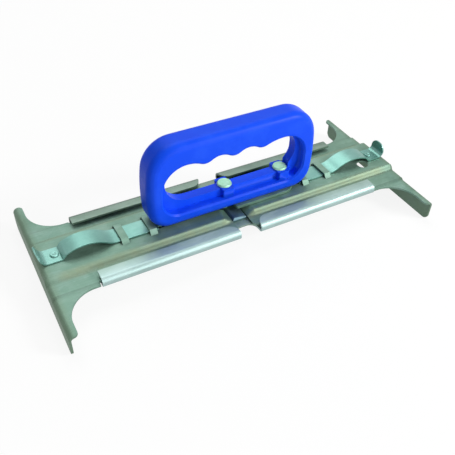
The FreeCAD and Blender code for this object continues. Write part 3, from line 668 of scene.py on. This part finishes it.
@dataclass
class TeePlate:
    """One sliding plate with its spring strap and the strap's rivet."""

    side: Side
    pressed: EdgeRound = EdgeRound(0.4, 3, 17.0, 45.0, clamp=False, ridge_only=True)
    sheared: EdgeRound = EdgeRound(0.16, 2, 45.0, 181.0)
    strap_edge: EdgeRound = EdgeRound(0.14, 2, 45.0, 181.0)
    tab_at_mm: float = 137.4
    tab_depth_mm: float = 3.0
    tab_foot_mm: float = 24.6
    left_lean_deg: float = 16.0

    def on_tab(self, at: Vector) -> bool:
        """Tell from a vertex's place whether it is on the left strap's thumb tab."""
        return at.z > self.tab_foot_mm * MM and at.x < -(self.tab_at_mm - self.tab_depth_mm) * MM

    def lean_tab(self, strap: bpy.types.Object) -> None:
        """Lean the left strap's thumb tab outwards, as it is bent on the real tool.

        Args:
            strap: the strap's merged copy.
        """
        if self.side is not Side.LEFT:
            return
        select_vertices(strap, self.on_tab)
        bpy.ops.transform.rotate(value=math.radians(self.left_lean_deg), orient_axis="Y",
                                 center_override=(-self.tab_at_mm * MM, 0, self.tab_foot_mm * MM))
        bpy.ops.object.mode_set(mode="OBJECT")

    def build(self, nodes: dict[str, bpy.types.Object], finishes: Finishes) -> None:
        """Soften and dress the plate, the strap and the rivet.

        Args:
            nodes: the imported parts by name.
            finishes: the tool's finishes.
        """
        end = self.side.value
        plate = merged_copy(nodes[end + "_tee_plate"], end + "_pressed_plate")
        round_edges(plate, self.pressed)
        round_edges(plate, self.sheared)
        smooth(plate)
        finish_piece(plate, [end + "_tee_plate"], end + "_plate",
                     finishes.plate)
        strap = merged_copy(nodes[end + "_catch_strap"], end + "_spring_strap")
        self.lean_tab(strap)
        round_edges(strap, self.strap_edge)
        smooth(strap)
        finish_piece(strap, [end + "_catch_strap"], end + "_catch",
                     finishes.strap)
        rivet = merged_copy(nodes[end + "_catch_rivet"], end + "_strap_rivet")
        round_edges(rivet, self.strap_edge)
        smooth(rivet)
        finish_piece(rivet, [end + "_catch_rivet"], end + "_plate",
                     finishes.strap)


@dataclass
class Grip:
    """The moulded grip and everything that rivets it to the channel."""

    outer: EdgeRound = EdgeRound(1.1, 3, 19.0, 26.0, clamp=False, centre_mm=(0.6, 52.0))
    rim: EdgeRound = EdgeRound(0.35, 2, 40.0, 50.0)
    rivet_edge: EdgeRound = EdgeRound(0.25, 2, 30.0, 181.0)
    body: str = "channel_and_grip"
    foot_mm: float = 24.2
    web_half_mm: float = 3.7
    web_clear_mm: float = 1.0

    # A pad stands on the web's foot round each rivet, and is drawn in from its CAD size.
    pads_at_mm: tuple[float, float] = (-3.6, 42.4)
    pad_bore_mm: float = 3.0
    pad_reach_mm: float = 6.6
    pad_half_mm: float = 8.1
    pad_foot_mm: float = 31.7
    pad_top_mm: float = 38.5
    pad_brow_mm: float = 0.2
    pad_length_share: float = 0.69
    pad_width_share: float = 0.925

    def on_pad(self, at: Vector, middle_mm: float) -> bool:
        """Tell whether a vertex belongs to the pad round one rivet.

        Args:
            at: the vertex's place.
            middle_mm: the rivet's X.

        Returns:
            Whether it is on the pad's sides or top.
        """
        along, across, up = (abs(at.x / MM - middle_mm), abs(at.y / MM), at.z / MM)
        on_web = up > self.pad_top_mm - self.pad_brow_mm and across < self.web_half_mm
        return (self.pad_bore_mm < along < self.pad_reach_mm and across < self.pad_half_mm
                and self.pad_foot_mm < up < self.pad_top_mm and not on_web)

    def on_pad_side(self, at: Vector, middle_mm: float) -> bool:
        """Tell whether a vertex is on a pad's outer side, clear of the web.

        Args:
            at: the vertex's place.
            middle_mm: the rivet's X.

        Returns:
            Whether it is on the side.
        """
        clear = abs(at.y) > (self.web_half_mm + self.web_clear_mm) * MM
        return clear and self.on_pad(at, middle_mm)

    def trim_pads(self, grip: bpy.types.Object) -> None:
        """Draw the two rivet pads in to the small oblongs of the moulding.

        Args:
            grip: the grip's merged copy.
        """
        for middle in self.pads_at_mm:
            centre = (middle * MM, 0, self.pad_foot_mm * MM)
            select_vertices(grip, lambda at: self.on_pad(at, middle))
            bpy.ops.transform.resize(value=(self.pad_length_share, 1, 1), center_override=centre)
            select_vertices(grip, lambda at: self.on_pad_side(at, middle))
            bpy.ops.transform.resize(value=(1, self.pad_width_share, 1), center_override=centre)
            bpy.ops.object.mode_set(mode="OBJECT")

    def flatten_foot(self, grip: bpy.types.Object) -> None:
        """Bring what the bevel pushed below the grip's foot back to it.

        Args:
            grip: the grip with its outer edges rounded.
        """
        foot = self.foot_mm * MM
        select_vertices(grip, lambda at: at.z < foot)
        bpy.ops.transform.resize(value=(1, 1, 0), center_override=(0, 0, foot))
        bpy.ops.object.mode_set(mode="OBJECT")

    def build(self, nodes: dict[str, bpy.types.Object], finishes: Finishes) -> None:
        """Round the grip, soften the rivets and dress them all.

        Args:
            nodes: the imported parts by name.
            finishes: the tool's finishes.
        """
        grip = merged_copy(nodes["grip_handle"], "moulded_grip")
        self.trim_pads(grip)
        round_edges(grip, self.outer)
        self.flatten_foot(grip)
        round_edges(grip, self.rim)
        smooth(grip)
        finish_piece(grip, ["grip_handle"], self.body, finishes.plastic)
        for place in ("middle", "right"):
            for part, visual in (("grip_rivet", "rivet"), ("rivet_sleeve", "sleeve"),
                                 ("rivet_washer", "washer")):
                name = place + "_" + part
                piece = merged_copy(nodes[name], place + "_steel_" + visual)
                round_edges(piece, self.rivet_edge)
                smooth(piece)
                finish_piece(piece, [name], self.body, finishes.rivet)


# ---- studio ----
@dataclass(frozen=True)
class SoftLamp:
    """A square soft lamp that hangs at a place and faces the tool."""

    name: str
    place: tuple[float, float, float]
    side: float
    watts: float
    faces: tuple[float, float, float] = (0, 0, 0.03)

    def hang(self) -> None:
        """Add the lamp to the scene."""
        data = bpy.data.lights.new(self.name, "AREA")
        data.size = self.side
        data.energy = self.watts
        lamp = bpy.data.objects.new(self.name, data)
        bpy.context.scene.collection.objects.link(lamp)
        lamp.location = self.place
        lamp.rotation_mode = "QUATERNION"
        aim = Vector(self.faces) - Vector(self.place)
        lamp.rotation_quaternion = aim.to_track_quat("-Z", "Y")


@dataclass
class Studio:
    """Pale floor, soft lamps, an even white room and the camera."""

    azimuth_deg: float = 30.20
    elevation_deg: float = 41.63
    roll_deg: float = 2.39
    distance: float = 0.41966
    target: Vector = field(default_factory=lambda: Vector((-0.01187, -0.02131, 0.017)))
    lens_mm: float = 47.31
    sensor_mm: float = 36.0
    nearest: float = 0.01
    lamps: tuple[SoftLamp, ...] = (
        SoftLamp("key_lamp", (1.2, -1.1, 1.05), 0.5, 27.0),
        SoftLamp("front_lamp", (0.3, -1.5, 0.3), 0.9, 9.0),
        SoftLamp("top_lamp", (0.15, 0.7, 1.5), 1.2, 13.5))
    room_colour: str = "EDF0F2"
    room_strength: float = 0.26
    floor_size: float = 8.0
    floor_colour: str = "F4F4F2"
    floor_glow: float = 0.88

    def camera(self) -> None:
        """Make the camera that looks at the tool from its front left, above."""
        azimuth, elevation, roll = (
            math.radians(angle) for angle in (self.azimuth_deg, self.elevation_deg, self.roll_deg))
        ahead = Vector((math.sin(azimuth) * math.cos(elevation),
                        math.cos(azimuth) * math.cos(elevation), -math.sin(elevation)))
        right = ahead.cross(Vector((0, 0, 1))).normalized()
        down = ahead.cross(right)
        across = right * math.cos(roll) - down * math.sin(roll)
        below = right * math.sin(roll) + down * math.cos(roll)
        data = bpy.data.cameras.new("camera")
        data.lens = self.lens_mm
        data.sensor_width = self.sensor_mm
        data.clip_start = self.nearest
        camera = bpy.data.objects.new("camera", data)
        bpy.context.scene.collection.objects.link(camera)
        place = self.target - ahead * self.distance
        turn = Matrix((across, -below, -ahead)).transposed().to_4x4()
        camera.matrix_world = Matrix.Translation(place) @ turn
        bpy.context.scene.camera = camera

    def sees_white(self, tree: bpy.types.NodeTree) -> bpy.types.NodeSocket:
        """Pick the rays that see the white backdrop: the camera's, reflected and transmitted ones.

        Args:
            tree: the node tree of the world or the floor.

        Returns:
            A socket that is 1 for those rays and 0 for the light on the tool.
        """
        path = add_node(tree, "ShaderNodeLightPath")
        through = add_node(tree, "ShaderNodeMath", {"operation": "MAXIMUM"}, {
            0: path.outputs["Is Camera Ray"], 1: path.outputs["Is Transmission Ray"]})
        seen = add_node(tree, "ShaderNodeMath", {"operation": "MAXIMUM"}, {
            0: through.outputs[0], 1: path.outputs["Is Glossy Ray"]})
        return seen.outputs[0]

    def surroundings(self) -> None:
        """Light the room evenly and show it white to the eye and in the metal."""
        world = bpy.data.worlds.new("studio")
        bpy.context.scene.world = world
        world.use_nodes = True
        tree = world.node_tree
        tree.nodes.clear()
        room = add_node(tree, "ShaderNodeBackground", {}, {
            "Color": linear(self.room_colour), "Strength": self.room_strength})
        white = add_node(tree, "ShaderNodeBackground", {}, {
            "Color": (1, 1, 1, 1), "Strength": 1.0})
        mix = add_node(tree, "ShaderNodeMixShader", {}, {
            0: self.sees_white(tree), 1: room.outputs[0], 2: white.outputs[0]})
        add_node(tree, "ShaderNodeOutputWorld", {}, {"Surface": mix.outputs[0]})

    def floor(self) -> None:
        """Lay the pale floor, which keeps a soft shadow under the tool."""
        bpy.ops.object.select_all(action="DESELECT")
        bpy.ops.mesh.primitive_plane_add(size=self.floor_size)
        floor = bpy.context.object
        floor.name = "floor"
        # Matt white paper: it gives the eye a bright, plain ground with only a soft shadow.
        material, tree = new_material("matt_white_floor")
        share = add_node(tree, "ShaderNodeMath", {"operation": "MULTIPLY"}, {
            0: self.sees_white(tree), 1: self.floor_glow})
        paint = add_node(tree, "ShaderNodeBsdfDiffuse", {}, {"Color": linear(self.floor_colour)})
        glow = add_node(tree, "ShaderNodeEmission", {}, {"Color": (1, 1, 1, 1), "Strength": 1.0})
        mix = add_node(tree, "ShaderNodeMixShader", {}, {
            0: share.outputs[0], 1: paint.outputs[0], 2: glow.outputs[0]})
        add_node(tree, "ShaderNodeOutputMaterial", {}, {"Surface": mix.outputs[0]})
        floor.data.materials.append(material)

    def build(self) -> None:
        """Set the studio up."""
        self.camera()
        for lamp in self.lamps:
            lamp.hang()
        self.surroundings()
        self.floor()
        bpy.context.scene.view_settings.view_transform = "Standard"


# ---- the whole scene ----
def main() -> None:
    """Build each sub-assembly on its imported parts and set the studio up."""
    logging.basicConfig(level=logging.INFO, format="%(name)s: %(message)s")
    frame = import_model()
    nodes = frame["nodes"]
    finishes = Finishes.build()
    ChannelBody().build(nodes, finishes)
    for side in Side:
        TeePlate(side).build(nodes, finishes)
    Grip().build(nodes, finishes)
    Studio().build()


if __name__ == "__main__":
    main()
